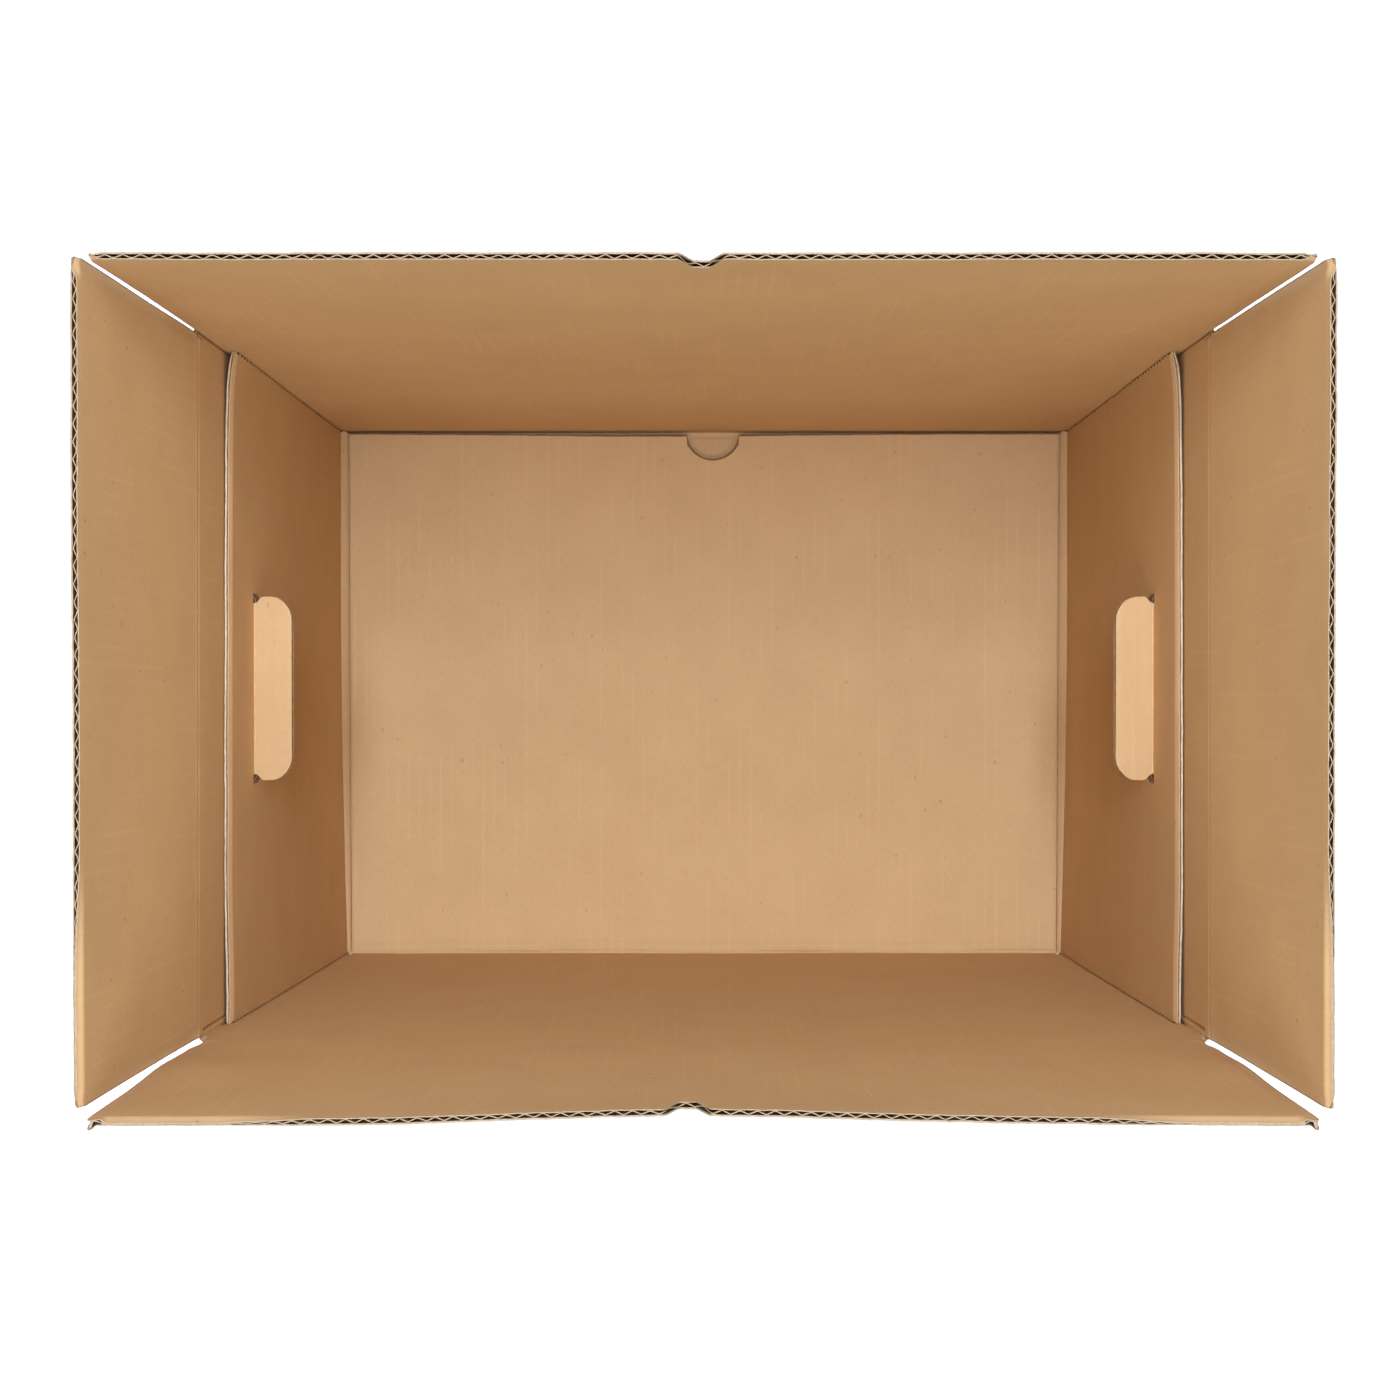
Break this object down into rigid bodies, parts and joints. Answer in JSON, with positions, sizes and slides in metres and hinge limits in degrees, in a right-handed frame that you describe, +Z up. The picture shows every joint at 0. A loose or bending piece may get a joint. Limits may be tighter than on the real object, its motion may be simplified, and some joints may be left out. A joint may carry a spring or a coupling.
{
  "type": "moving box",
  "caption": "Open corrugated moving box with a folded-in base panel, hand-hole wings inside its ends, and top flaps that hinge from closed to folded down outside.",
  "frame": {"origin": "middle of the underside, on the surface the box stands on", "axes": "+X to the right end, +Y to the back wall, +Z up out of the open top"},
  "size_m": [0.4672, 0.321, 0.5078],
  "materials": {
    "kraft_board": "uncoated brown kraft liner, matt"
  },
  "bodies": {
    "carton": {"carton": "kraft_board"},
    "front_top_flap": {"front_top_flap": "kraft_board"},
    "back_top_flap": {"back_top_flap": "kraft_board"},
    "left_top_flap": {"left_top_flap": "kraft_board"},
    "right_top_flap": {"right_top_flap": "kraft_board"},
    "left_grip_flap": {"left_grip_flap": "kraft_board"},
    "right_grip_flap": {"right_grip_flap": "kraft_board"}
  },
  "joints": [
    {"name": "front_flap_crease", "type": "hinge", "parent": "carton", "child": "front_top_flap", "pos_m": [0, -0.1605, 0.3483], "axis": [-1, 0, 0], "range_deg": [-175, 90]},
    {"name": "back_flap_crease", "type": "hinge", "parent": "carton", "child": "back_top_flap", "pos_m": [0, 0.1605, 0.3483], "axis": [1, 0, 0], "range_deg": [-176, 89]},
    {"name": "left_flap_crease", "type": "hinge", "parent": "carton", "child": "left_top_flap", "pos_m": [-0.228, 0, 0.345], "axis": [0, 1, 0], "range_deg": [-173, 92]},
    {"name": "right_flap_crease", "type": "hinge", "parent": "carton", "child": "right_top_flap", "pos_m": [0.228, 0, 0.345], "axis": [0, -1, 0], "range_deg": [-173, 92]},
    {"name": "left_grip_crease", "type": "hinge", "parent": "carton", "child": "left_grip_flap", "pos_m": [-0.2205, 0, 0.25], "axis": [0, -1, 0], "range_deg": [-108, 62]},
    {"name": "right_grip_crease", "type": "hinge", "parent": "carton", "child": "right_grip_flap", "pos_m": [0.2205, 0, 0.25], "axis": [0, 1, 0], "range_deg": [-108, 62]}
  ]
}
